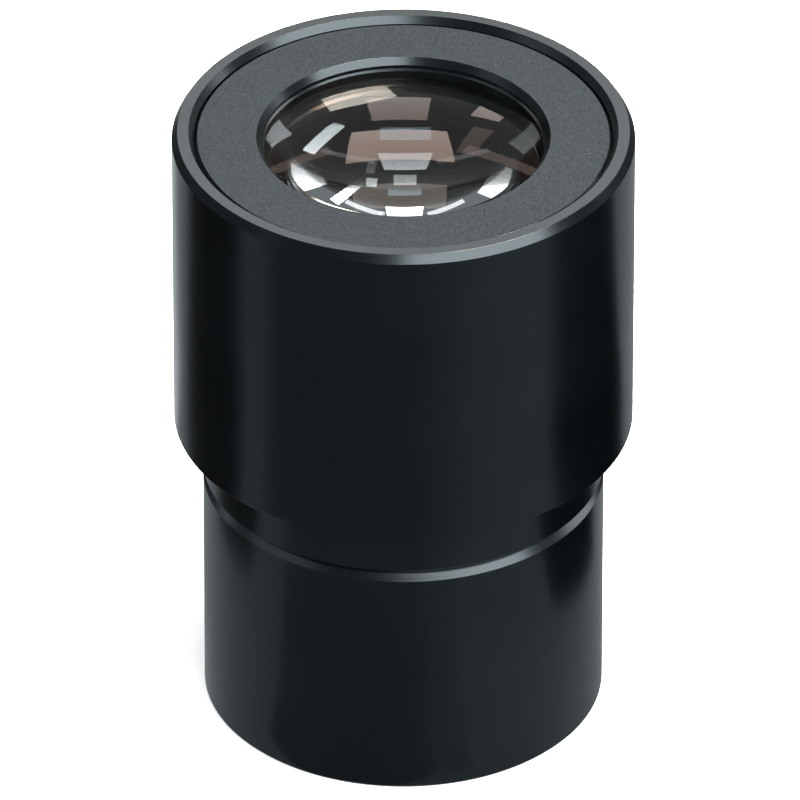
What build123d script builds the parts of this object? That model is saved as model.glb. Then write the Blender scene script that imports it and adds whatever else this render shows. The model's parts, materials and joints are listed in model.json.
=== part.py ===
from build123d import *
import math
import os

# 1.25 inch fixed-focus eyepiece, three lenses in two groups, all black anodised aluminium.
# Millimetres. +Z is the optical axis and points towards the eye. The origin is the centre
# of the barrel's lower rim, so the part stands on the plane Z = 0.

os.makedirs("parts", exist_ok=True)

# ---------------------------------------------------------------- driving dimensions
BARREL_R = 31.75 / 2        # the 1.25 inch push-fit barrel
HOUSING_R = 18.14           # outer radius of the housing, where fingers hold it
SHOULDER_Z = 25.2           # underside of the housing, which stops against the drawtube
RIM_Z = 51.7                # top of the rim around the eye end, and the overall height

# barrel tube
BARREL_EDGE = 0.25          # chamfer on the outside of the lower rim
MOUTH_EDGE = 0.40           # chamfer on the inside of the lower rim
FILTER_R = 28.5 / 2         # root radius of the M28.5 x 0.6 filter thread
FILTER_LEN = 4.6            # length of the filter thread, with its lead-in
STOP_BORE_R = 13.90         # bore that holds the field stop and its ring
STOP_SEAT_Z = 15.48         # step that the field stop is pushed up against
UPPER_BORE_R = 12.70        # blackened bore between the field stop and the joint
JOINT_Z = 20.70             # flat face on top of the barrel where the housing seats
NOTCH = 0.90                # 45 degree chamfer on the barrel that makes the joint line

# screw joint between barrel and housing
SPIGOT_R = 14.25            # crest radius of the male thread
SPIGOT_LEN = 4.50
JOINT_PITCH = 0.75
THREAD_DEPTH = 0.38
THREAD_TURNS = 5            # whole threads cut on the spigot
JOINT_CLEAR = 0.05          # radial clearance of the male thread in the housing
FACE_GAP = 0.03             # gap left between two faces that meet on different bodies

# housing
HOUSING_EDGE = 0.20         # edge break under the housing
NECK_EDGE = 0.12
TAP_DEPTH = 5.30            # depth of the female thread's bore, from the neck's face
SEAT_R = 12.20              # inner radius of the seat under the field lens
CELL_R = 13.05              # bore that the lenses lie in
CAP_R = 16.40               # bore that the face plate is screwed into
CAP_SEAT_Z = 47.90
RIM_OUT_DROP = 0.68         # outer rim chamfer: height, then width
RIM_OUT_IN = 0.42
RIM_IN_R = 16.80            # inner edge of the flat rim, at the top of the inner cone
RIM_CONE_DROP = 0.57        # height of the inner cone

# face plate (the ring around the eye lens)
PLATE_Z = 51.20             # its matt top face, below the rim
PLATE_R = 16.37
PLATE_EDGE = 0.25
EYE_OPEN_R = 11.50          # eye opening at the top face
EYE_CHAMFER = 0.38          # chamfer of the opening: width, then depth
EYE_CHAMFER_DROP = 0.55
EYE_WALL = 0.30             # upper wall of the opening, down to its small step
EYE_STEP = 0.14
PLATE_UNDER_Z = 49.58       # underside that holds the eye lens down
PLATE_SKIRT_R = 13.35
PLATE_SKIRT_Z = 47.95

# lenses
LENS_R = 13.00
LENS_BEVEL = 0.20
EYE_TOP_R = 41.0            # eye lens, radii of curvature: top, bottom
EYE_BOTTOM_R = 62.8
EYE_THICK = 5.40
EYE_APEX_Z = 51.08
FIELD_TOP_R = 32.0          # cemented field lens: top, cemented face, bottom
FIELD_CEMENT_R = 30.0
FIELD_BOTTOM_R = 80.0
CROWN_THICK = 8.0
FLINT_THICK = 2.0
CEMENT = 0.01               # thickness of the cement
FIELD_LOW_Z = 33.4          # lowest point of the field lens

# spacer between the two lens groups
SPACER_IN_R = 12.0
SEAT_GAP = 0.02             # gap left where a lens rests on the housing or the spacer

# field stop and the ring that holds it
STOP_R = 13.85
STOP_OPEN_R = 11.60
STOP_THICK = 0.60
RING_R = 13.88
RING_IN_R = 12.50
RING_LEN = 2.00
SLOT_WIDTH = 1.60
SLOT_DEPTH = 0.90

# light-trapping grooves
BAFFLE_PITCH = 0.80
BAFFLE_DEPTH = 0.28


# ---------------------------------------------------------------- helpers
def sag(radius, r):
    """Depth of a sphere's cap of half-width r."""
    return radius - math.sqrt(radius**2 - r**2)


def turned(outline):
    """A solid turned from an outline of (radius, height) points."""
    points = [(r, 0, z) for r, z in outline]
    return revolve(make_face(Polyline(*points, close=True)), axis=Axis.Z)


def vee_bore(r, z_low, z_high):
    """Points down a bore of light-trapping V grooves, from its top to its bottom."""
    count = int((z_high - z_low) / BAFFLE_PITCH)
    margin = (z_high - z_low - count * BAFFLE_PITCH) / 2
    points = []
    for i in range(count):
        top = z_high - margin - i * BAFFLE_PITCH
        points += [(r, top), (r + BAFFLE_DEPTH, top - BAFFLE_PITCH / 2)]
    points.append((r, z_low + margin))
    return points


def lens(top, bottom, z_low, z_high):
    """A round lens with ground bevels. top and bottom are signed radii of curvature:
    positive bulges upwards on top, and downwards at the bottom."""
    inner = LENS_R - LENS_BEVEL

    def top_z(r):
        return z_high - math.copysign(sag(abs(top), r), top)

    def bottom_z(r):
        return z_low + math.copysign(sag(abs(bottom), r), bottom)

    def arc(height, r_from, r_to):
        middle = (r_from + r_to) / 2
        ends = [(r, 0, height(r)) for r in (r_from, middle, r_to)]
        return ThreePointArc(*ends)

    rim = Polyline(
        (inner, 0, bottom_z(inner)),
        (LENS_R, 0, bottom_z(inner) + LENS_BEVEL),
        (LENS_R, 0, top_z(inner) - LENS_BEVEL),
        (inner, 0, top_z(inner)),
    )
    wires = [arc(bottom_z, 0, inner), rim, arc(top_z, inner, 0), Line((0, 0, z_high), (0, 0, z_low))]
    return revolve(make_face(wires), axis=Axis.Z)


# ---------------------------------------------------------------- barrel side
def make_barrel_tube():
    spigot_top = JOINT_Z + SPIGOT_LEN
    outline = [
        (FILTER_R + MOUTH_EDGE, 0),
        (BARREL_R - BARREL_EDGE, 0),
        (BARREL_R, BARREL_EDGE),
        (BARREL_R, JOINT_Z - NOTCH),
        (BARREL_R - NOTCH, JOINT_Z),
    ]
    # relief groove at the foot of the spigot, then the thread's crests and roots
    root = SPIGOT_R - THREAD_DEPTH
    first = JOINT_Z + JOINT_PITCH * 0.6
    outline += [(root, JOINT_Z), (root, first - JOINT_PITCH / 3)]
    for i in range(THREAD_TURNS):
        crest = first + i * JOINT_PITCH
        outline += [
            (SPIGOT_R, crest),
            (SPIGOT_R, crest + JOINT_PITCH / 6),
            (root, crest + JOINT_PITCH / 2),
        ]
    outline += [(root, spigot_top), (UPPER_BORE_R, spigot_top)]
    outline += vee_bore(UPPER_BORE_R, STOP_SEAT_Z + 0.4, spigot_top - 0.6)
    outline += [
        (UPPER_BORE_R, STOP_SEAT_Z),
        (STOP_BORE_R, STOP_SEAT_Z),
        (STOP_BORE_R, FILTER_LEN),
        (FILTER_R, FILTER_LEN),
        (FILTER_R, MOUTH_EDGE),
    ]
    return turned(outline)


def make_field_stop():
    low = STOP_SEAT_Z - STOP_THICK
    knife = STOP_THICK * 0.75
    return turned([
        (STOP_OPEN_R + knife, low),
        (STOP_R, low),
        (STOP_R, STOP_SEAT_Z),
        (STOP_OPEN_R, STOP_SEAT_Z),
        (STOP_OPEN_R, STOP_SEAT_Z - STOP_THICK * 0.25),
    ])


def make_stop_ring():
    high = STOP_SEAT_Z - STOP_THICK
    low = high - RING_LEN
    ring = turned([
        (RING_IN_R + 0.3, low),
        (RING_R - 0.2, low),
        (RING_R, low + 0.2),
        (RING_R, high),
        (RING_IN_R, high),
        (RING_IN_R, low + 0.3),
    ])
    # two slots across the lower face take a spanner
    slots = Pos(0, 0, low) * Box(4 * RING_R, SLOT_WIDTH, 2 * SLOT_DEPTH)
    return ring - slots


# ---------------------------------------------------------------- housing side
def make_housing():
    neck_low = JOINT_Z + FACE_GAP
    tap_r = SPIGOT_R + JOINT_CLEAR
    tap_top = JOINT_Z + TAP_DEPTH
    seat_z = FIELD_LOW_Z + sag(FIELD_BOTTOM_R, SEAT_R) - SEAT_GAP
    return turned([
        (tap_r, neck_low),
        (BARREL_R - NECK_EDGE, neck_low),
        (BARREL_R, neck_low + NECK_EDGE),
        (BARREL_R, SHOULDER_Z),
        (HOUSING_R - HOUSING_EDGE, SHOULDER_Z),
        (HOUSING_R, SHOULDER_Z + HOUSING_EDGE),
        (HOUSING_R, RIM_Z - RIM_OUT_DROP),
        (HOUSING_R - RIM_OUT_IN, RIM_Z),
        (RIM_IN_R, RIM_Z),
        (CAP_R, RIM_Z - RIM_CONE_DROP),
        (CAP_R, CAP_SEAT_Z),
        (CELL_R, CAP_SEAT_Z),
        (CELL_R, seat_z),
        (SEAT_R, seat_z),
        *vee_bore(SEAT_R, tap_top + 1.0, seat_z - 0.8),
        (SEAT_R, tap_top + 0.4),
        (SEAT_R + 0.4, tap_top),
        (tap_r, tap_top),
    ])


def make_face_plate():
    wall_top = PLATE_Z - EYE_CHAMFER_DROP
    step_top = wall_top - EYE_WALL
    wall_r = EYE_OPEN_R - EYE_CHAMFER
    return turned([
        (EYE_OPEN_R, PLATE_Z),
        (wall_r, wall_top),
        (wall_r, step_top),
        (wall_r - EYE_STEP, step_top - EYE_STEP),
        (wall_r - EYE_STEP, PLATE_UNDER_Z),
        (PLATE_SKIRT_R, PLATE_UNDER_Z),
        (PLATE_SKIRT_R, PLATE_SKIRT_Z),
        (PLATE_R, PLATE_SKIRT_Z),
        (PLATE_R, PLATE_Z - PLATE_EDGE),
        (PLATE_R - PLATE_EDGE, PLATE_Z),
    ])


# ---------------------------------------------------------------- lens stack
def make_eye_lens():
    return lens(EYE_TOP_R, EYE_BOTTOM_R, EYE_APEX_Z - EYE_THICK, EYE_APEX_Z)


def make_field_flint():
    return lens(-FIELD_CEMENT_R, FIELD_BOTTOM_R, FIELD_LOW_Z, FIELD_LOW_Z + FLINT_THICK)


def make_field_crown():
    low = FIELD_LOW_Z + FLINT_THICK + CEMENT
    return lens(FIELD_TOP_R, FIELD_CEMENT_R, low, low + CROWN_THICK)


def make_lens_spacer():
    crown_top = FIELD_LOW_Z + FLINT_THICK + CEMENT + CROWN_THICK
    low = crown_top - sag(FIELD_TOP_R, SPACER_IN_R) + SEAT_GAP
    high = EYE_APEX_Z - EYE_THICK + sag(EYE_BOTTOM_R, SPACER_IN_R) - SEAT_GAP
    outline = [(SPACER_IN_R, low), (LENS_R, low), (LENS_R, high), (SPACER_IN_R, high)]
    return turned(outline + vee_bore(SPACER_IN_R, low + 0.5, high - 0.5))


PIECES = {
    "barrel_tube": make_barrel_tube,
    "field_stop": make_field_stop,
    "field_stop_ring": make_stop_ring,
    "housing": make_housing,
    "face_plate": make_face_plate,
    "eye_lens": make_eye_lens,
    "lens_spacer": make_lens_spacer,
    "field_lens_crown": make_field_crown,
    "field_lens_flint": make_field_flint,
}

for node, make in PIECES.items():
    export_step(make(), f"parts/{node}.step")
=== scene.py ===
import json
import math

import bpy
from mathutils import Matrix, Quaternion, Vector


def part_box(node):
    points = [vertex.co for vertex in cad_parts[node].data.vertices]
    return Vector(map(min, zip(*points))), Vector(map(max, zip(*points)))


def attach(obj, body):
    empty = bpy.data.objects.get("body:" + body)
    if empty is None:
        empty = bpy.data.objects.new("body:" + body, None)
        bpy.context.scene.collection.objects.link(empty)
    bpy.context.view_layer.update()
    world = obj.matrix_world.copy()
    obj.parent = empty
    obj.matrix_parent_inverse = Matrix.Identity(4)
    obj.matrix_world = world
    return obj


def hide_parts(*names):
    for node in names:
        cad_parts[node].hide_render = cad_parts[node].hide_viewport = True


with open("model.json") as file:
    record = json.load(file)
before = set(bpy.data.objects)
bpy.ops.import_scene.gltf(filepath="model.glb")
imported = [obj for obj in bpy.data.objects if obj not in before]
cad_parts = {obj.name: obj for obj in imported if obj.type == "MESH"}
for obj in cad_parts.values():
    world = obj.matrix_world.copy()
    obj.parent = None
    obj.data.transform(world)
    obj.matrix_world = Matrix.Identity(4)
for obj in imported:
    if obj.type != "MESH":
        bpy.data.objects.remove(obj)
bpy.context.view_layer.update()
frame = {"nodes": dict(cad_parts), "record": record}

# A 1.25 inch eyepiece, all black anodised, standing on its barrel. The metal that shows and the
# lenses are turned afresh here, with rounded edges, optical surfaces and helical threads, around
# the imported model. Sizes below are millimetres, and meshes are made in metres.
MM = 0.001
SEGMENTS = 240              # steps round the axis in a turned piece
EDGE_STEPS = 4              # steps in a rounded edge

# ---------------------------------------------------------------- sizes
MOUNTS = {m["name"]: m for m in frame["record"]["mounts"]}
BARREL_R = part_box("barrel_tube")[1].x / MM
SPIGOT_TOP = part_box("barrel_tube")[1].z / MM
HOUSING_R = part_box("housing")[1].x / MM
NECK_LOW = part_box("housing")[0].z / MM
RIM_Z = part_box("housing")[1].z / MM
PLATE_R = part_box("face_plate")[1].x / MM
PLATE_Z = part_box("face_plate")[1].z / MM
SKIRT_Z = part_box("face_plate")[0].z / MM
LENS_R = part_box("eye_lens")[1].x / MM
SHOULDER_Z = MOUNTS["shoulder"]["pos_m"][2] / MM
FILTER_R = MOUNTS["filter_thread"]["dims"]["r_mm"]

FACE_GAP = 0.03             # between the neck and the barrel's top face
JOINT_Z = NECK_LOW - FACE_GAP

BARREL_EDGE = 0.25          # barrel: edges, bores and the chamfer of the joint line
MOUTH_EDGE = 0.40
FILTER_LEN = 4.6
STOP_BORE_R = 13.90
STOP_SEAT_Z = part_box("field_stop")[1].z / MM
UPPER_BORE_R = 12.70
NOTCH = 0.90
SPIGOT_R = 14.25
THREAD_DEPTH = 0.38
JOINT_PITCH = 0.75
THREAD_START = 0.30         # plain length under the joint's thread, and over it
THREAD_END = 0.10
FILTER_PITCH = 0.6
FILTER_THREAD_DEPTH = 0.32
FILTER_START = 0.05         # plain length under the filter's thread, and over it
FILTER_END = 0.10

HOUSING_EDGE = 0.20         # housing
NECK_EDGE = 0.12
TAP_R = SPIGOT_R + 0.05      # bore for the spigot, and the chamfer at its top
TAP_TOP = JOINT_Z + 5.30
TAP_CHAMFER = 0.40
SEAT_R = 12.20
CELL_R = 13.05
CAP_R = 16.40
CAP_SEAT_Z = 47.90
RIM_OUT_DROP = 0.68
RIM_OUT_IN = 0.42
RIM_IN_R = 16.80
RIM_CONE_DROP = 0.57

PLATE_EDGE = 0.25           # face plate
EYE_OPEN_R = 11.50
EYE_CHAMFER = 0.38
EYE_CHAMFER_DROP = 0.55
EYE_WALL = 0.30
EYE_STEP = 0.14
PLATE_UNDER_Z = 49.58
SKIRT_R = 13.35

LENS_BEVEL = 0.20           # lenses: bevel, steps in a surface and radii of curvature
LENS_STEPS = 28
EYE_TOP_R = 41.0
EYE_BOTTOM_R = 62.8
FIELD_TOP_R = 32.0
FIELD_CEMENT_R = 30.0
FIELD_BOTTOM_R = 80.0
CEMENT = 0.01
SEAT_GAP = 0.02

BAFFLE_PITCH = 0.80         # light-trapping grooves, and the plain bore left at their ends
BAFFLE_DEPTH = 0.28
BARREL_PLAIN_LOW = 0.40
BARREL_PLAIN_HIGH = 0.60
HOUSING_PLAIN_LOW = 1.00
HOUSING_PLAIN_HIGH = 0.80

FINE = 0.03                 # radius left on a turned edge
SOFT = 0.06                 # radius left on an edge that fingers meet

THREAD_SUNK = 0.02          # depth of a thread's foot in the metal
THREAD_FOOT = 0.42          # half width of a thread's foot and crest, as shares of its pitch
THREAD_CREST = 0.07
THREAD_LEAST = 0.02         # share of its height that a thread keeps at its ends


# ---------------------------------------------------------------- turned meshes
def sag(radius, r):
    """Depth of a sphere's cap of half-width r."""
    return radius - math.sqrt(radius**2 - r**2)


def unit(r, z):
    length = math.hypot(r, z)
    return r / length, z / length


class Outline:
    """A section in (radius, height), walked with the metal or glass on the left. Each span holds
    its two ends, the surface normals there and its material number."""

    def __init__(self):
        self.spans = []

    def span(self, start, end, normal_start=None, normal_end=None, material=0):
        flat = unit(end[1] - start[1], start[0] - end[0])
        self.spans.append((start, end, normal_start or flat, normal_end or flat, material))

    def arc(self, centre, radius, start, end, steps, material=0):
        """A round stretch about centre, from angle start to angle end, in radians. A negative
        radius is a hollow surface."""
        for i in range(steps):
            ends = [start + (end - start) * k / steps for k in (i, i + 1)]
            rays = [(math.cos(a), math.sin(a)) for a in ends]
            points = [(centre[0] + abs(radius) * x, centre[1] + abs(radius) * z) for x, z in rays]
            side = math.copysign(1, radius)
            normals = [(side * x, side * z) for x, z in rays]
            self.span(*points, *normals, material)

    def paint(self, material, low, high):
        """Gives the spans inside a box from (r, z) low to high their own material number."""
        for i, (start, end, normal_start, normal_end, _) in enumerate(self.spans):
            if all(low[k] <= point[k] <= high[k] for point in (start, end) for k in (0, 1)):
                self.spans[i] = (start, end, normal_start, normal_end, material)


def rounded(corners):
    """A closed outline through (radius, height, edge radius) corners."""
    outline = Outline()
    count = len(corners)
    cuts = []
    for i, (r, z, edge) in enumerate(corners):
        before, after = corners[i - 1], corners[(i + 1) % count]
        d_in = unit(r - before[0], z - before[1])
        d_out = unit(after[0] - r, after[1] - z)
        across = d_in[0] * d_out[1] - d_in[1] * d_out[0]
        along = d_in[0] * d_out[0] + d_in[1] * d_out[1]
        turn = math.atan2(across, along)
        room = 0.4 * min(math.dist(before[:2], (r, z)), math.dist(after[:2], (r, z)))
        cut = min(edge * math.tan(abs(turn) / 2), room)
        cuts.append((r, z, d_in, d_out, turn, cut))
    for i, (r, z, d_in, d_out, turn, cut) in enumerate(cuts):
        start = (r - d_in[0] * cut, z - d_in[1] * cut)
        end = (r + d_out[0] * cut, z + d_out[1] * cut)
        if cut > 0:
            radius = cut / math.tan(abs(turn) / 2)
            side = math.copysign(1, turn)
            centre = (start[0] - d_in[1] * side * radius, start[1] + d_in[0] * side * radius)
            first = math.atan2(start[1] - centre[1], start[0] - centre[0])
            outline.arc(centre, side * radius, first, first + turn, EDGE_STEPS)
        r_next, z_next, d_next, _, _, cut_next = cuts[(i + 1) % count]
        outline.span(end, (r_next - d_next[0] * cut_next, z_next - d_next[1] * cut_next))
    return outline


def turned(name, outline, body, cad_node, materials):
    """A piece turned from an outline, with the outline's own normals, in place of a CAD node."""
    verts, faces, normals, numbers = [], [], [], []
    angles = [2 * math.pi * k / SEGMENTS for k in range(SEGMENTS)]
    compass = [(math.cos(a), math.sin(a)) for a in angles]
    rings = {}

    def ring(point):
        key = (round(point[0], 6), round(point[1], 6))
        if key not in rings:
            rings[key] = len(verts)
            spokes = compass if key[0] > 1e-6 else [(0.0, 0.0)]
            verts.extend((point[0] * x * MM, point[0] * y * MM, point[1] * MM) for x, y in spokes)
        return rings[key], key[0] > 1e-6

    def turn(normal, k):
        x, y = compass[k % SEGMENTS]
        return normal[0] * x, normal[0] * y, normal[1]

    for start, end, n_start, n_end, number in outline.spans:
        (a, a_round), (b, b_round) = ring(start), ring(end)
        for k in range(SEGMENTS):
            k2 = (k + 1) % SEGMENTS
            corner = [(a + k * a_round, turn(n_start, k)), (a + k2 * a_round, turn(n_start, k + 1)),
                      (b + k2 * b_round, turn(n_end, k + 1)), (b + k * b_round, turn(n_end, k))]
            if not a_round:
                del corner[1]
            elif not b_round:
                del corner[2]
            faces.append([v for v, _ in corner])
            normals.extend(n for _, n in corner)
            numbers.append(number)

    obj = mesh_piece(name, verts, faces, materials)
    obj.data.polygons.foreach_set("material_index", numbers)
    obj.data.polygons.foreach_set("use_smooth", [True] * len(faces))
    obj.data.normals_split_custom_set(normals)
    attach(obj, body)
    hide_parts(cad_node)


def mesh_piece(name, verts, faces, materials):
    mesh = bpy.data.meshes.new(name)
    mesh.from_pydata(verts, [], faces)
    for material in materials:
        mesh.materials.append(material)
    obj = bpy.data.objects.new(name, mesh)
    bpy.context.scene.collection.objects.link(obj)
    return obj


def thread(name, root_r, crest_r, z_low, z_high, pitch, body, material):
    """One helical thread whose crest stands off the root towards crest_r, closed at both ends and
    fading into the root over the first and the last quarter turn."""
    foot_r = root_r + math.copysign(THREAD_SUNK, root_r - crest_r)
    half_root = pitch * THREAD_FOOT
    half_crest = pitch * THREAD_CREST
    turns = (z_high - z_low - 2 * half_root) / pitch
    steps = int(turns * SEGMENTS)
    verts, faces = [], []
    for i in range(steps + 1):
        angle = 2 * math.pi * turns * i / steps
        rise = min(1, 4 * turns * min(i, steps - i) / steps)
        z = z_low + half_root + pitch * turns * i / steps
        top_r = root_r + (crest_r - root_r) * max(rise, THREAD_LEAST)
        for r, dz in ((foot_r, -half_root), (top_r, -half_crest), (top_r, half_crest), (foot_r, half_root)):
            verts.append((r * math.cos(angle) * MM, r * math.sin(angle) * MM, (z + dz) * MM))
    for i in range(steps):
        for k in range(4):
            a, b = 4 * i + k, 4 * i + (k + 1) % 4
            faces.append((a, a + 4, b + 4, b))
    faces.append((0, 1, 2, 3))
    faces.append(tuple(4 * steps + k for k in (3, 2, 1, 0)))
    if crest_r < root_r:
        faces = [tuple(reversed(face)) for face in faces]
    obj = mesh_piece(name, verts, faces, [material])
    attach(obj, body)


# ---------------------------------------------------------------- materials
def new_material(name):
    material = bpy.data.materials.new(name)
    material.use_nodes = True
    tree = material.node_tree
    return material, tree, tree.nodes["Principled BSDF"]


def node(tree, kind, **settings):
    made = tree.nodes.new("ShaderNode" + kind)
    for key, value in settings.items():
        setattr(made, key, value)
    return made


def turning_coordinates(tree):
    """A point's place, and its (distance from the axis, height), on which a texture runs in
    rings."""
    place = node(tree, "TexCoord")
    split = node(tree, "SeparateXYZ")
    flat = node(tree, "CombineXYZ")
    radius = node(tree, "VectorMath", operation="LENGTH")
    rings = node(tree, "CombineXYZ")
    tree.links.new(place.outputs["Object"], split.inputs[0])
    tree.links.new(split.outputs["X"], flat.inputs["X"])
    tree.links.new(split.outputs["Y"], flat.inputs["Y"])
    tree.links.new(flat.outputs[0], radius.inputs[0])
    tree.links.new(radius.outputs["Value"], rings.inputs["X"])
    tree.links.new(split.outputs["Z"], rings.inputs["Y"])
    return place.outputs["Object"], rings.outputs[0]


def noise_texture(tree, vector, scale, detail=3.0, roughness=0.5):
    texture = node(tree, "TexNoise")
    texture.inputs["Scale"].default_value = scale
    texture.inputs["Detail"].default_value = detail
    texture.inputs["Roughness"].default_value = roughness
    tree.links.new(vector, texture.inputs["Vector"])
    return texture.outputs["Fac"]


def spread(tree, value, low, high, from_low=0.3, from_high=0.7):
    """Maps a texture's middle range onto low..high."""
    ranged = node(tree, "MapRange")
    ranged.inputs["From Min"].default_value = from_low
    ranged.inputs["From Max"].default_value = from_high
    ranged.inputs["To Min"].default_value = low
    ranged.inputs["To Max"].default_value = high
    tree.links.new(value, ranged.inputs["Value"])
    return ranged.outputs[0]


def colours(tree, value, *stops):
    """A colour ramp of (position, colour) stops driven by a texture."""
    ramp = node(tree, "ValToRGB")
    while len(ramp.color_ramp.elements) < len(stops):
        ramp.color_ramp.elements.new(0.5)
    for element, (position, colour) in zip(ramp.color_ramp.elements, stops):
        element.position = position
        element.color = (*colour, 1)
    tree.links.new(value, ramp.inputs[0])
    return ramp.outputs["Color"]


def bump(tree, shader, *layers):
    """Stacks (height texture, depth in metres) layers on the shader's normal."""
    before = None
    for value, depth in layers:
        relief = node(tree, "Bump")
        relief.inputs["Strength"].default_value = 1.0
        relief.inputs["Distance"].default_value = depth
        tree.links.new(value, relief.inputs["Height"])
        if before:
            tree.links.new(before, relief.inputs["Normal"])
        before = relief.outputs[0]
    tree.links.new(before, shader.inputs["Normal"])


def satin_anodised(name, dark, light, roughness, tint, marks):
    """Fine-turned aluminium, black anodised: rings of tool marks, marks metres deep, under a
    slightly uneven dye."""
    material, tree, shader = new_material(name)
    solid, rings = turning_coordinates(tree)
    cloud = noise_texture(tree, solid, 90, 4)
    grain = noise_texture(tree, solid, 9000, 2)
    tool = noise_texture(tree, rings, 5200, 2, 0.6)
    tree.links.new(colours(tree, cloud, (0.35, dark), (0.65, light)), shader.inputs["Base Color"])
    tree.links.new(spread(tree, cloud, roughness - 0.025, roughness + 0.025), shader.inputs["Roughness"])
    shader.inputs["Specular Tint"].default_value = (*tint, 1)
    bump(tree, shader, (tool, marks), (grain, marks * 0.6))
    return material


def blasted_anodised(name, dark, light, roughness, specular, tint, pits):
    """Bead-blasted aluminium, black anodised: a fine even speckle of pits, pits metres deep, with
    a matt, greyish bloom."""
    material, tree, shader = new_material(name)
    solid, _ = turning_coordinates(tree)
    speckle = noise_texture(tree, solid, 7000, 3, 0.7)
    cloud = noise_texture(tree, solid, 160, 3)
    tree.links.new(colours(tree, speckle, (0.35, dark), (0.68, light)), shader.inputs["Base Color"])
    tree.links.new(spread(tree, cloud, roughness - 0.04, roughness + 0.04), shader.inputs["Roughness"])
    shader.inputs["Specular IOR Level"].default_value = specular
    shader.inputs["Specular Tint"].default_value = (*tint, 1)
    bump(tree, shader, (speckle, pits))
    return material


def baffle_black(name):
    """Dull anodising inside, where light must not come back, with a few paler dust specks."""
    material, tree, shader = new_material(name)
    solid, rings = turning_coordinates(tree)
    cloud = noise_texture(tree, solid, 700, 4)
    tool = noise_texture(tree, rings, 3000, 2)
    ramp = colours(tree, cloud, (0.3, (0.003, 0.003, 0.0032)), (0.72, (0.008, 0.0078, 0.0075)))
    tree.links.new(ramp, shader.inputs["Base Color"])
    tree.links.new(spread(tree, cloud, 0.62, 0.78), shader.inputs["Roughness"])
    shader.inputs["Specular IOR Level"].default_value = 0.3
    bump(tree, shader, (tool, 0.00002))
    return material


def edge_black(name):
    """Black lacquer brushed on the ground edge of a lens."""
    material, tree, shader = new_material(name)
    solid, _ = turning_coordinates(tree)
    brush = noise_texture(tree, solid, 1500, 4)
    ramp = colours(tree, brush, (0.3, (0.004, 0.004, 0.004)), (0.7, (0.012, 0.011, 0.010)))
    tree.links.new(ramp, shader.inputs["Base Color"])
    tree.links.new(spread(tree, brush, 0.45, 0.65), shader.inputs["Roughness"])
    bump(tree, shader, (brush, 0.00001))
    return material


def coated_glass(name, ior, tint):
    """Polished optical glass. The coating's colour is the tint of what it reflects."""
    material, tree, shader = new_material(name)
    solid, _ = turning_coordinates(tree)
    cloud = noise_texture(tree, solid, 220, 2)
    haze = colours(tree, cloud, (0.3, (0.985, 0.98, 0.97)), (0.7, (1.0, 0.995, 0.985)))
    tree.links.new(haze, shader.inputs["Base Color"])
    shader.inputs["Transmission Weight"].default_value = 1.0
    shader.inputs["Roughness"].default_value = 0.0
    shader.inputs["IOR"].default_value = ior
    shader.inputs["Specular Tint"].default_value = (*tint, 1)
    bump(tree, shader, (cloud, 0.0000002))
    return material


# ---------------------------------------------------------------- metal
def vee_bore(r, z_low, z_high):
    """Corners down a bore of light-trapping V grooves, from its top to its bottom."""
    count = int((z_high - z_low) / BAFFLE_PITCH)
    margin = (z_high - z_low - count * BAFFLE_PITCH) / 2
    corners = []
    for i in range(count):
        top = z_high - margin - i * BAFFLE_PITCH
        corners += [(r, top, 0), (r + BAFFLE_DEPTH, top - BAFFLE_PITCH / 2, 0)]
    corners.append((r, z_low + margin, 0))
    return corners


def make_barrel(metal):
    root = SPIGOT_R - THREAD_DEPTH
    outline = rounded([
        (FILTER_R + MOUTH_EDGE, 0, FINE),
        (BARREL_R - BARREL_EDGE, 0, SOFT),
        (BARREL_R, BARREL_EDGE, SOFT),
        (BARREL_R, JOINT_Z - NOTCH, FINE),
        (BARREL_R - NOTCH, JOINT_Z, FINE),
        (root, JOINT_Z, 0),
        (root, SPIGOT_TOP, FINE),
        (UPPER_BORE_R, SPIGOT_TOP, FINE),
        *vee_bore(UPPER_BORE_R, STOP_SEAT_Z + BARREL_PLAIN_LOW, SPIGOT_TOP - BARREL_PLAIN_HIGH),
        (UPPER_BORE_R, STOP_SEAT_Z, FINE),
        (STOP_BORE_R, STOP_SEAT_Z, 0),
        (STOP_BORE_R, FILTER_LEN, FINE),
        (FILTER_R, FILTER_LEN, 0),
        (FILTER_R, MOUTH_EDGE, FINE),
    ])
    turned("barrel_body", outline, "barrel", "barrel_tube", [metal])
    thread("joint_thread", root, SPIGOT_R, JOINT_Z + THREAD_START, SPIGOT_TOP - THREAD_END,
           JOINT_PITCH, "barrel", metal)
    thread("filter_thread", FILTER_R, FILTER_R - FILTER_THREAD_DEPTH, MOUTH_EDGE + FILTER_START,
           FILTER_LEN - FILTER_END, FILTER_PITCH, "barrel", metal)


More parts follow.
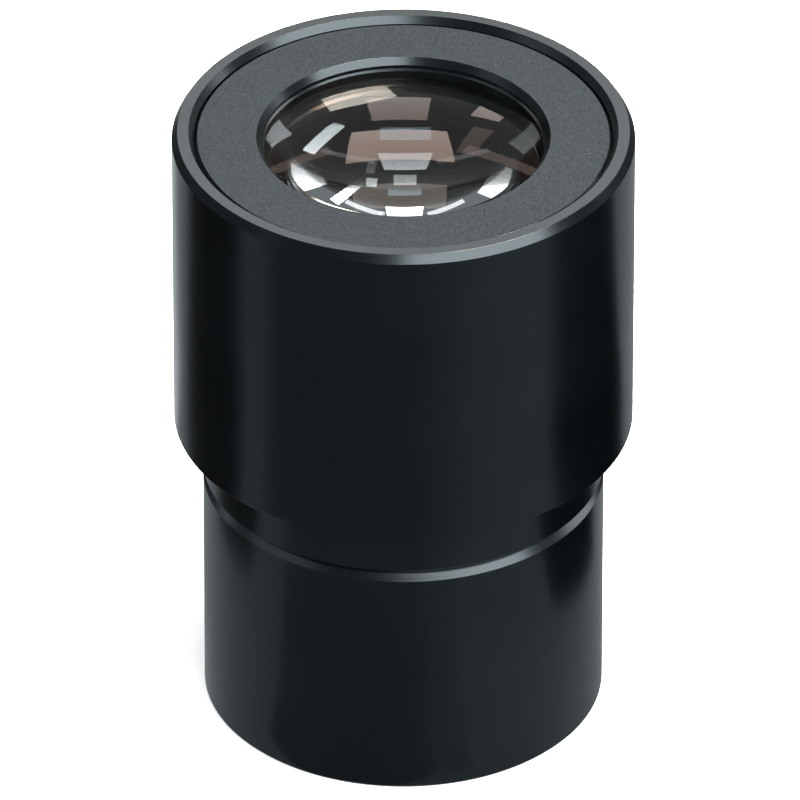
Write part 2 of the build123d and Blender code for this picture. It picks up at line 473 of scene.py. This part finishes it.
def make_housing(metal):
    seat_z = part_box("field_lens_flint")[0].z / MM + sag(FIELD_BOTTOM_R, SEAT_R) - SEAT_GAP
    outline = rounded([
        (TAP_R, NECK_LOW, FINE),
        (BARREL_R - NECK_EDGE, NECK_LOW, FINE),
        (BARREL_R, NECK_LOW + NECK_EDGE, FINE),
        (BARREL_R, SHOULDER_Z, FINE),
        (HOUSING_R - HOUSING_EDGE, SHOULDER_Z, SOFT),
        (HOUSING_R, SHOULDER_Z + HOUSING_EDGE, SOFT),
        (HOUSING_R, RIM_Z - RIM_OUT_DROP, SOFT),
        (HOUSING_R - RIM_OUT_IN, RIM_Z, SOFT),
        (RIM_IN_R, RIM_Z, FINE),
        (CAP_R, RIM_Z - RIM_CONE_DROP, FINE),
        (CAP_R, CAP_SEAT_Z, 0),
        (CELL_R, CAP_SEAT_Z, FINE),
        (CELL_R, seat_z, 0),
        (SEAT_R, seat_z, FINE),
        *vee_bore(SEAT_R, TAP_TOP + HOUSING_PLAIN_LOW, seat_z - HOUSING_PLAIN_HIGH),
        (SEAT_R, TAP_TOP + TAP_CHAMFER, 0),
        (SEAT_R + TAP_CHAMFER, TAP_TOP, 0),
        (TAP_R, TAP_TOP, 0),
    ])
    turned("housing_body", outline, "head", "housing", [metal])


def make_face_plate(blasted, polished):
    wall_top = PLATE_Z - EYE_CHAMFER_DROP
    step_top = wall_top - EYE_WALL
    wall_r = EYE_OPEN_R - EYE_CHAMFER
    outline = rounded([
        (EYE_OPEN_R, PLATE_Z, FINE),
        (wall_r, wall_top, FINE),
        (wall_r, step_top, FINE),
        (wall_r - EYE_STEP, step_top - EYE_STEP, FINE),
        (wall_r - EYE_STEP, PLATE_UNDER_Z, FINE),
        (SKIRT_R, PLATE_UNDER_Z, 0),
        (SKIRT_R, SKIRT_Z, FINE),
        (PLATE_R, SKIRT_Z, FINE),
        (PLATE_R, PLATE_Z - PLATE_EDGE, FINE),
        (PLATE_R - PLATE_EDGE, PLATE_Z, FINE),
    ])
    outline.paint(1, (0, 0), (EYE_OPEN_R + FINE, PLATE_Z))
    outline.paint(1, (PLATE_R - PLATE_EDGE - FINE, 0), (PLATE_R, PLATE_Z))
    turned("face_plate_ring", outline, "head", "face_plate", [blasted, polished])


# ---------------------------------------------------------------- lenses
def lens_outline(top, bottom, z_low, z_high):
    """Section of a round lens from the bottom's centre to the top's. top and bottom are signed
    radii of curvature. Materials: 0 the bottom surface, 1 the top surface, 2 the ground edge."""
    inner = LENS_R - LENS_BEVEL
    outline = Outline()
    reach = math.asin(inner / abs(bottom))
    if bottom > 0:
        outline.arc((0, z_low + bottom), bottom, -math.pi / 2, reach - math.pi / 2, LENS_STEPS, 0)
    else:
        outline.arc((0, z_low + bottom), bottom, math.pi / 2, math.pi / 2 - reach, LENS_STEPS, 0)
    bottom_edge = z_low + math.copysign(sag(abs(bottom), inner), bottom)
    top_edge = z_high - math.copysign(sag(abs(top), inner), top)
    edge = [(inner, bottom_edge), (LENS_R, bottom_edge + LENS_BEVEL),
            (LENS_R, top_edge - LENS_BEVEL), (inner, top_edge)]
    for start, end in zip(edge, edge[1:]):
        outline.span(start, end, material=2)
    reach = math.asin(inner / abs(top))
    if top > 0:
        outline.arc((0, z_high - top), top, math.pi / 2 - reach, math.pi / 2, LENS_STEPS, 1)
    else:
        outline.arc((0, z_high - top), top, reach - math.pi / 2, -math.pi / 2, LENS_STEPS, 1)
    return outline


def make_lenses(edge):
    """The eye lens and the field lens. The field lens's two cemented faces bend no light, because
    the glass runs on through them."""
    blue_coat = coated_glass("coated_crown_blue", 1.517, (0.85, 0.95, 1.0))
    warm_coat = coated_glass("coated_crown_warm", 1.517, (1.0, 0.53, 0.34))
    flint_coat = coated_glass("coated_flint", 1.62, (0.60, 0.50, 0.44))
    cement = coated_glass("lens_cement", 1.0, (1.0, 1.0, 1.0))
    low, high = [v.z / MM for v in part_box("eye_lens")]
    turned("eye_lens_glass", lens_outline(EYE_TOP_R, EYE_BOTTOM_R, low, high),
           "lens_stack", "eye_lens", [blue_coat, warm_coat, edge])
    low, high = [v.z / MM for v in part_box("field_lens_crown")]
    turned("field_crown_glass", lens_outline(FIELD_TOP_R, FIELD_CEMENT_R, low, high),
           "lens_stack", "field_lens_crown", [cement, warm_coat, edge])
    high = low - CEMENT
    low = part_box("field_lens_flint")[0].z / MM
    turned("field_flint_glass", lens_outline(-FIELD_CEMENT_R, FIELD_BOTTOM_R, low, high),
           "lens_stack", "field_lens_flint", [flint_coat, cement, edge])


# ---------------------------------------------------------------- studio
COOL = (0.86, 0.96, 1.0)
WHITE = (1.0, 1.0, 1.0)
BLUE = (0.66, 0.88, 1.0)
AMBER = (1.0, 0.81, 0.67)

CAMERA_DISTANCE = 1.267     # metres from the point it looks at
CAMERA_ELEVATION = 33.74    # degrees above the horizon
CAMERA_AIM = (-0.00027, 0, 0.02636)
CAMERA_LENS = 721.5         # focal length on a 36 mm sensor

SKY = 0.18                  # brightness of the studio's walls and ceiling
LIGHT_DISTANCE = 0.7        # metres from the rim
SOFTBOXES = [
    # azimuth 0 is the camera's side and +90 its right; elevation is counted from the rim
    # name, azimuth, elevation, degrees wide, degrees high, brightness, tint
    ("key", 38, 35, 64, 40, 6.6, WHITE),
    ("left", -80, 38, 30, 30, 0.6, WHITE),
    ("back_side", 170.5, 14, 3.2, 13, 1.4, WHITE),
    ("back_low", 180.5, 19.5, 6.4, 11.5, 1.05, WHITE),
    ("back_slip", 169.5, 31, 2.5, 12, 0.4, WHITE),
    ("back_top", 181, 54, 15, 8, 1.9, BLUE),
    ("wing_right", 159.5, 35.5, 17, 3.2, 0.6, WHITE),
    ("wing_left", 202, 35, 17, 3.2, 0.6, WHITE),
    ("right_back", 117, 24, 24, 26, 3.2, WHITE),
    ("slit", 145, 42, 5, 24, 9.0, WHITE),
    ("overhead", 111, 72, 20, 24, 55.0, AMBER),
    ("left_back", -124, 25, 24, 18, 1.0, WHITE),
]
CEILING_PANELS = [
    # name, azimuth, lowest and highest elevation, degrees wide, brightness, tint
    ("back_high", 180.6, 29.5, 41.5, 13.5, 2.5, WHITE),
]

FLOOR_GLOW = 0.62
FLOOR_REACH = 4000          # mm
NEAR_FLOOR_R = 130
FRONT_CARD = [(-14, -12), (-250, -110), (-180, -260), (50, -260), (3, -17)]     # corners, mm
FADE_CARD = [(3, -17), (50, -260), (120, -240), (6.5, -16)]
RIGHT_CARD = [(31, -8), (28, 12), (45, 32), (85, 44), (112, 20), (97, -28), (54, -22)]
LEFT_CARD = [(-36, -7), (-35, 12), (-48, 30), (-76, 52), (-112, 45), (-120, 0), (-95, -14),
             (-55, -14)]
BACK_CARD = [(-14, 22), (-8, 120), (-60, 120), (-40, 38)]


def make_camera():
    elevation = math.radians(CAMERA_ELEVATION)
    back = Vector((0, -math.cos(elevation), math.sin(elevation)))
    data = bpy.data.cameras.new("camera")
    data.sensor_width = 36
    data.lens = CAMERA_LENS
    data.clip_start = 0.01
    data.clip_end = 20
    camera = bpy.data.objects.new("camera", data)
    camera.location = Vector(CAMERA_AIM) + back * CAMERA_DISTANCE
    camera.rotation_euler = (-back).to_track_quat("-Z", "Y").to_euler()
    bpy.context.scene.collection.objects.link(camera)
    bpy.context.scene.camera = camera


def around(azimuth, elevation, distance):
    """A place round the object, from its azimuth and elevation in degrees."""
    a, e = math.radians(azimuth), math.radians(elevation)
    return Vector((math.sin(a) * math.cos(e), -math.cos(a) * math.cos(e), math.sin(e))) * distance


def softbox(name, azimuth, elevation, wide, high, brightness, tint):
    """A rectangular studio light that faces the object, wide by high degrees across from it."""
    place = around(azimuth, elevation, LIGHT_DISTANCE)
    size = [2 * LIGHT_DISTANCE * math.tan(math.radians(angle / 2)) for angle in (wide, high)]
    area_light(name, place, (-place).to_track_quat("-Z", "Y"), size, brightness, tint)


def ceiling_panel(name, azimuth, low, high, wide, brightness, tint):
    """A level light overhead that reaches from elevation low to high, wide degrees across in its
    middle."""
    height = LIGHT_DISTANCE * math.sin(math.radians((low + high) / 2))
    near, far = [height / math.tan(math.radians(angle)) for angle in (high, low)]
    out = around(azimuth, 0, 1)
    place = out * (near + far) / 2 + Vector((0, 0, height))
    facing = Quaternion((0, 0, 1), math.radians(azimuth))
    size = (2 * place.length * math.tan(math.radians(wide / 2)), far - near)
    area_light(name, place, facing, size, brightness, tint)


def area_light(name, place, facing, size, brightness, tint):
    """A light of one brightness whatever its size, at a place counted from the rim's centre."""
    data = bpy.data.lights.new(name, "AREA")
    data.shape = "RECTANGLE"
    data.size, data.size_y = size
    data.energy = 4 * brightness * data.size * data.size_y
    data.color = tint
    light = bpy.data.objects.new(name, data)
    light.location = Vector((0, 0, RIM_Z * MM)) + place
    light.rotation_euler = facing.to_euler()
    bpy.context.scene.collection.objects.link(light)


def card(name, corners, z, material):
    """A flat sheet through (x, y) corners in millimetres."""
    verts = [(x * MM, y * MM, z * MM) for x, y in corners]
    obj = mesh_piece(name, verts, [tuple(range(len(corners)))], [material])
    return obj


def glow(name, colour, strength):
    """A surface of its own even brightness, whatever light falls on it."""
    material = bpy.data.materials.new(name)
    material.use_nodes = True
    tree = material.node_tree
    tree.nodes.remove(tree.nodes["Principled BSDF"])
    emission = node(tree, "Emission")
    emission.inputs["Color"].default_value = (*colour, 1)
    emission.inputs["Strength"].default_value = strength
    tree.links.new(emission.outputs[0], tree.nodes["Material Output"].inputs["Surface"])
    return material


def disc(radius, corners):
    """Corners of a flat disc about the axis."""
    angles = [2 * math.pi * k / corners for k in range(corners)]
    return [(radius * math.cos(a), radius * math.sin(a)) for a in angles]


def floor_paint(name, brightness):
    material, _, shader = new_material(name)
    shader.inputs["Base Color"].default_value = (0.86, 0.86, 0.86, 1)
    shader.inputs["Roughness"].default_value = 0.9
    shader.inputs["Emission Color"].default_value = (1, 1, 1, 1)
    shader.inputs["Emission Strength"].default_value = brightness
    return material


def make_floor():
    """A pale floor that glows evenly, except inside the barrel's foot, where its glow is left off as
    painted shade. The metal mirrors a greyer copy of it instead, with cards in front, at each side and
    behind that only reflections show."""
    far = FLOOR_REACH
    square = [(-far, -far), (far, -far), (far, far), (-far, far)]
    floor = card("floor", square, 0, floor_paint("pale_floor", FLOOR_GLOW))
    floor.visible_glossy = False
    middle_of_foot = (FILTER_R + MOUTH_EDGE + BARREL_R - BARREL_EDGE) / 2
    # painted shade: inside the barrel's foot the floor is laid again without its glow, standing in for the
    # shadow under the barrel
    card("floor_in_barrel", disc(middle_of_foot, 64), 0.05, floor_paint("covered_floor", 0))
    mirrored = [
        card("mirrored_far_floor", square, -0.8, glow("far_floor_grey", COOL, 0.10)),
        card("mirrored_floor", disc(NEAR_FLOOR_R, 16), -0.5, glow("near_floor_grey", COOL, 0.40)),
        card("card_front", FRONT_CARD, 0.3, glow("card_grey", COOL, 0.17)),
        card("card_front_fade", FADE_CARD, 0.3, glow("card_light_grey", COOL, 0.27)),
        card("card_right", RIGHT_CARD, 0.5, glow("card_dark_right", COOL, 0.0)),
        card("card_left", LEFT_CARD, 0.5, glow("card_dark_left", COOL, 0.02)),
        card("card_back", BACK_CARD, 0.3, glow("card_bright_back", COOL, 1.0)),
    ]
    for part in mirrored:
        part.visible_camera = False
        part.visible_diffuse = False
        part.visible_transmission = False
        part.visible_shadow = False


def make_lights():
    for box in SOFTBOXES:
        softbox(*box)
    for panel in CEILING_PANELS:
        ceiling_panel(*panel)
    world = bpy.data.worlds.new("studio")
    world.use_nodes = True
    background = world.node_tree.nodes["Background"]
    background.inputs["Color"].default_value = (*COOL, 1)
    background.inputs["Strength"].default_value = SKY
    bpy.context.scene.world = world
    bpy.context.scene.view_settings.view_transform = "Standard"


# ---------------------------------------------------------------- build
make_camera()
make_floor()
make_lights()

satin = satin_anodised("black_satin", dark=(0.0006, 0.0010, 0.0013), light=(0.0012, 0.0019, 0.0024),
                       roughness=0.23, tint=(0.79, 0.94, 1.0), marks=0.0000035)
matt = blasted_anodised("matt_blasted", dark=(0.0003, 0.001, 0.002), light=(0.019, 0.027, 0.036),
                        roughness=0.60, specular=0.38, tint=(0.70, 0.89, 1.0), pits=0.000075)
dull = baffle_black("dull_inside")
lacquer = edge_black("lens_edge_lacquer")

make_barrel(satin)
make_housing(satin)
make_face_plate(matt, satin)
make_lenses(lacquer)
for name in ("field_stop", "field_stop_ring", "lens_spacer"):
    frame["nodes"][name].material_slots[0].material = dull
